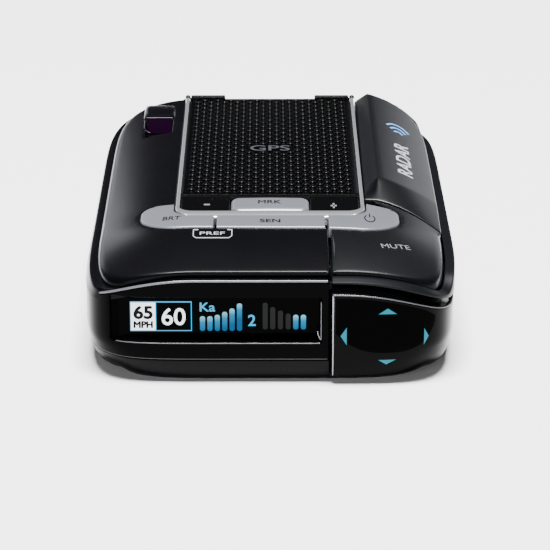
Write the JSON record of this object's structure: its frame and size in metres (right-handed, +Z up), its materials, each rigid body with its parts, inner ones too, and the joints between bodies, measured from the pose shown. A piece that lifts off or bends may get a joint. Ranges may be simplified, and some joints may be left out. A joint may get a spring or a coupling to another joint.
{
  "type": "radar detector",
  "caption": "Low rounded dashboard radar detector: display and arrow-light panel at the driver's end, textured top pad in a bright frame, press keys, mount slot and working parts inside.",
  "frame": {"origin": "centre of the case's bounding box in plan, on the plane it rests on", "axes": "+X to the right as the driver faces the display, +Y forward to the windshield and road, +Z up"},
  "size_m": [0.0896, 0.1358, 0.0345],
  "materials": {
    "case_shell": "fine moulded satin black",
    "gloss_front": "polished black",
    "screen_glass": "smoked clear",
    "arrow_lens": "translucent cyan",
    "satin_grey": "satin dark grey",
    "cover_satin": "soft satin black",
    "hump_satin": "soft satin graphite",
    "bright_trim": "bright satin plated",
    "pad_texture": "matt with raised dots",
    "strip_black": "polished black",
    "satin_key": "satin silver paint",
    "laser_filter": "dark violet tinted, clear to infrared",
    "radome_black": "fine matt black",
    "inner_frame": "plain moulded",
    "magnet": "plated",
    "switch_housing": "plain",
    "switch_plunger": "plain",
    "circuit_board": "green coated laminate",
    "chip_package": "dull black",
    "shield_steel": "tinned",
    "cast_horn": "die-cast",
    "speaker_frame": "dull",
    "speaker_paper": "pulp",
    "patch_ceramic": "fired ceramic",
    "module_black": "plain",
    "ribbon": "amber film",
    "led": "milky",
    "jack_plastic": "plain",
    "usb_shell": "plated",
    "case_screw": "blackened",
    "board_screw": "plated",
    "plate_film": "plain matt film"
  },
  "bodies": {
    "case": {"bottom_case": "case_shell", "front_bezel": "gloss_front", "display_lens": "screen_glass", "arrow_panel": "gloss_front", "arrow_up": "arrow_lens", "arrow_down": "arrow_lens", "arrow_left": "arrow_lens", "arrow_right": "arrow_lens", "side_strip": "satin_grey", "top_cover": "cover_satin", "hump_cover": "hump_satin", "trim_frame": "bright_trim", "texture_pad": "pad_texture", "strip_tray": "strip_black", "laser_window": "laser_filter", "radome": "radome_black", "front_laser_lens": "laser_filter", "mount_channel": "inner_frame", "mount_magnets": "magnet", "key_frame": "inner_frame", "key_board": "circuit_board", "switch_bodies": "switch_housing", "main_board": "circuit_board", "board_chips": "chip_package", "rf_shield": "shield_steel", "horn_antenna": "cast_horn", "horn_amplifier": "cast_horn", "speaker_basket": "speaker_frame", "speaker_cone": "speaker_paper", "gps_board": "circuit_board", "gps_patch": "patch_ceramic", "rear_laser_sensor": "chip_package", "front_laser_sensor": "chip_package", "display_module": "module_black", "display_ribbon": "ribbon", "arrow_board": "circuit_board", "arrow_leds": "led", "power_jack": "jack_plastic", "usb_port": "usb_shell", "phone_jack": "jack_plastic", "case_screws": "case_screw", "board_screws": "board_screw", "rating_plate": "plate_film"},
    "minus_key": {"key_minus": "strip_black", "plunger_minus": "switch_plunger"},
    "mark_key": {"key_mark": "satin_key", "plunger_mark": "switch_plunger"},
    "plus_key": {"key_plus": "strip_black", "plunger_plus": "switch_plunger"},
    "brightness_key": {"key_brightness": "satin_key", "plunger_brightness": "switch_plunger"},
    "sensitivity_key": {"key_sensitivity": "satin_key", "plunger_sensitivity": "switch_plunger"},
    "power_key": {"key_power": "satin_key", "plunger_power": "switch_plunger"},
    "mute_key": {"key_mute": "hump_satin", "mute_carrier": "inner_frame", "plunger_mute": "switch_plunger"}
  },
  "joints": [
    {"name": "minus_press", "type": "slide", "parent": "case", "child": "minus_key", "axis": [0, 0, -1], "range_m": [0, 0.0004], "stiffness_N_per_m": 900},
    {"name": "mark_press", "type": "slide", "parent": "case", "child": "mark_key", "axis": [0, 0, -1], "range_m": [0, 0.0004], "stiffness_N_per_m": 900},
    {"name": "plus_press", "type": "slide", "parent": "case", "child": "plus_key", "axis": [0, 0, -1], "range_m": [0, 0.0004], "stiffness_N_per_m": 900},
    {"name": "brightness_press", "type": "slide", "parent": "case", "child": "brightness_key", "axis": [0, 0, -1], "range_m": [0, 0.0005], "stiffness_N_per_m": 900},
    {"name": "sensitivity_press", "type": "slide", "parent": "case", "child": "sensitivity_key", "axis": [0, 0, -1], "range_m": [0, 0.0005], "stiffness_N_per_m": 900},
    {"name": "power_press", "type": "slide", "parent": "case", "child": "power_key", "axis": [0, 0, -1], "range_m": [0, 0.0005], "stiffness_N_per_m": 900},
    {"name": "mute_press", "type": "hinge", "parent": "case", "child": "mute_key", "pos_m": [0, -0.031, 0.0249], "axis": [1, 0, 0], "range_deg": [0, 0.8], "stiffness_Nm_per_rad": 2}
  ]
}
